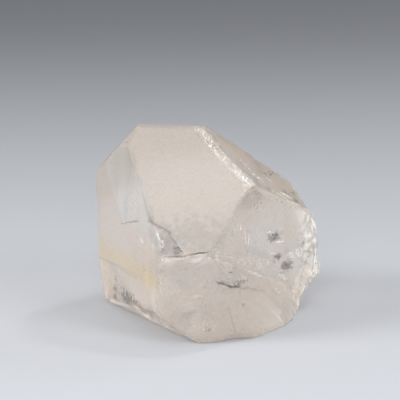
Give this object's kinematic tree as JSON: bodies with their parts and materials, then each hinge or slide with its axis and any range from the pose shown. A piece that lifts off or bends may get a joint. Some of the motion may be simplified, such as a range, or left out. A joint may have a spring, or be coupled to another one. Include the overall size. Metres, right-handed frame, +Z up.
{
  "type": "danburite crystal point",
  "caption": "Stubby see-through danburite crystal with a faceted, chisel-shaped tip and a broken flat base; pale pink, partly frosted, with internal cracks.",
  "frame": {"origin": "on the flat broken base, straight below the centre that the crystal faces are measured from", "axes": "+Z up along the crystal's c axis, -Y towards the broad frosted dome face, +X to the right seen from the front"},
  "size_m": [0.0308, 0.0307, 0.0257],
  "materials": {
    "danburite": "clear pale pink crystal, frosted on the broad front face"
  },
  "bodies": {
    "root": {"danburite_crystal": "danburite"}
  },
  "joints": []
}
